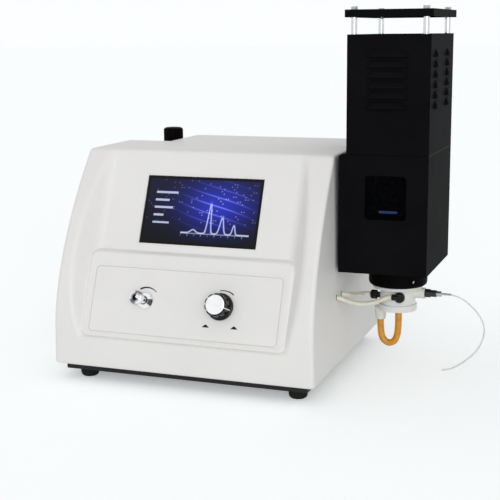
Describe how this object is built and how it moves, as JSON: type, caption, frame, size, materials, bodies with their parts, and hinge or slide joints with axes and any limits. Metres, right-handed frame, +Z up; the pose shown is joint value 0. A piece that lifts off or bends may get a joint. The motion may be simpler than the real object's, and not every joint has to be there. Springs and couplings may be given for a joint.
{
  "type": "flame photometer",
  "caption": "Bench flame photometer: white sloped case with touch display and gas controls, side burner tower with louvred chimney, spray chamber and drain tube, rear regulator bay.",
  "frame": {"origin": "middle of the footprint on the bench, the free sample capillary left out", "axes": "+X to the operator's right, towards the burner tower; +Y from the front to the back; +Z up from the bench"},
  "size_m": [0.5285, 0.355, 0.4718],
  "materials": {
    "case_white": "moulded white plastic, satin",
    "panel_white": "folded sheet, off-white powder coat",
    "plate_white": "printed front film on a thin plate, semi-gloss",
    "tower_black": "folded sheet, black satin coat",
    "base_black": "folded sheet, black coat",
    "foot_rubber": "black moulded rubber",
    "screen_glass": "black-backed touch glass",
    "module_grey": "dark grey housing",
    "knob_black": "black moulded plastic",
    "cap_silver": "pale silver disc",
    "chrome": "polished plate",
    "steel": "plain stainless steel",
    "brass": "machined brass",
    "board_green": "circuit board",
    "zinc": "zinc-plated or plain alloy sheet",
    "optic_black": "black anodised block",
    "optic_glass": "clear lens glass",
    "window_dark": "dark heat-proof glass",
    "ceramic": "glazed ceramic",
    "collar_black": "black machined plastic",
    "chamber_clear": "cloudy clear plastic",
    "hose_ivory": "soft ivory tube",
    "hose_clear": "soft inner tube",
    "amber_tube": "amber rubber tube",
    "nut_black": "black moulded nuts",
    "capillary_clear": "thin clear tube",
    "regulator_grey": "dark die-cast body",
    "bowl_clear": "clear bowl",
    "gauge_black": "black gauge case",
    "pointer_red": "thin painted pointer",
    "rocker_red": "red rocker"
  },
  "bodies": {
    "machine": {"base_tray": "base_black", "feet": "foot_rubber", "case_shell": "case_white", "rear_panel": "panel_white", "bay_panel": "panel_white", "screws": "steel", "display_glass": "screen_glass", "display_module": "module_grey", "control_plate": "plate_white", "gas_valve_body": "brass", "fine_collar": "chrome", "fine_valve_body": "brass", "main_board": "board_green", "power_supply": "zinc", "optics_stand": "zinc", "optics_block": "optic_black", "lens_and_filters": "optic_glass", "detectors": "zinc", "inner_pipes": "hose_clear", "outlet_fittings": "steel", "tower_mount": "tower_black", "burner_box": "tower_black", "window_frame": "knob_black", "window_glass": "window_dark", "chimney_box": "tower_black", "louvres": "tower_black", "burner_head": "brass", "burner_tube": "steel", "igniter": "ceramic", "cap_posts": "steel", "cap_nuts": "steel", "rain_cap": "tower_black", "collar": "collar_black", "spray_chamber": "chamber_clear", "chamber_foot": "chamber_clear", "hose_fittings": "nut_black", "gas_hose": "hose_ivory", "air_hose": "hose_ivory", "drain_tube": "amber_tube", "nebuliser": "chamber_clear", "nebuliser_nuts": "nut_black", "needle": "steel", "capillary": "capillary_clear", "regulator_body": "regulator_grey", "regulator_bowl": "bowl_clear", "gauge_case": "gauge_black", "power_inlet": "knob_black", "switch_frame": "knob_black", "data_port": "zinc", "inlet_barbs": "brass"},
    "gas_knob": {"gas_knob": "knob_black", "gas_knob_cap": "cap_silver", "gas_spindle": "steel"},
    "fine_knob": {"fine_knob": "chrome", "fine_spindle": "steel"},
    "regulator_screw": {"regulator_screw": "steel"},
    "regulator_knob": {"regulator_knob": "knob_black"},
    "gauge_pointer": {"gauge_pointer": "pointer_red"},
    "fuse_drawer": {"fuse_drawer": "knob_black"},
    "switch_rocker": {"switch_rocker": "rocker_red"}
  },
  "joints": [
    {"name": "gas_knob_turn", "type": "hinge", "parent": "machine", "child": "gas_knob", "pos_m": [-0.01533, -0.14369, 0.10843], "axis": [0, -0.9272, 0.3746], "range_deg": [-38, 248]},
    {"name": "fine_knob_turn", "type": "hinge", "parent": "machine", "child": "fine_knob", "pos_m": [-0.11782, -0.14369, 0.10843], "axis": [0, -0.9272, 0.3746], "range_deg": [-900, 900]},
    {"name": "regulator_turn", "type": "hinge", "parent": "machine", "child": "regulator_screw", "pos_m": [-0.19332, 0.12154, 0.28], "axis": [0, 0, 1], "range_deg": [-900, 900]},
    {"name": "regulator_knob_lift", "type": "slide", "parent": "regulator_screw", "child": "regulator_knob", "axis": [0, 0, 1], "range_m": [0, 0.003]},
    {"name": "gauge_pointer_turn", "type": "hinge", "parent": "machine", "child": "gauge_pointer", "pos_m": [-0.19332, 0.15954, 0.232], "axis": [0, -1, 0], "range_deg": [0, 270], "stiffness_Nm_per_rad": 0.00004, "springref_deg": -34.38},
    {"name": "fuse_drawer_slide", "type": "slide", "parent": "machine", "child": "fuse_drawer", "axis": [0, 1, 0], "range_m": [0, 0.018]},
    {"name": "switch_rocker_tilt", "type": "hinge", "parent": "machine", "child": "switch_rocker", "pos_m": [0.00417, 0.15154, 0.086], "axis": [1, 0, 0], "range_deg": [-16, 0]}
  ]
}
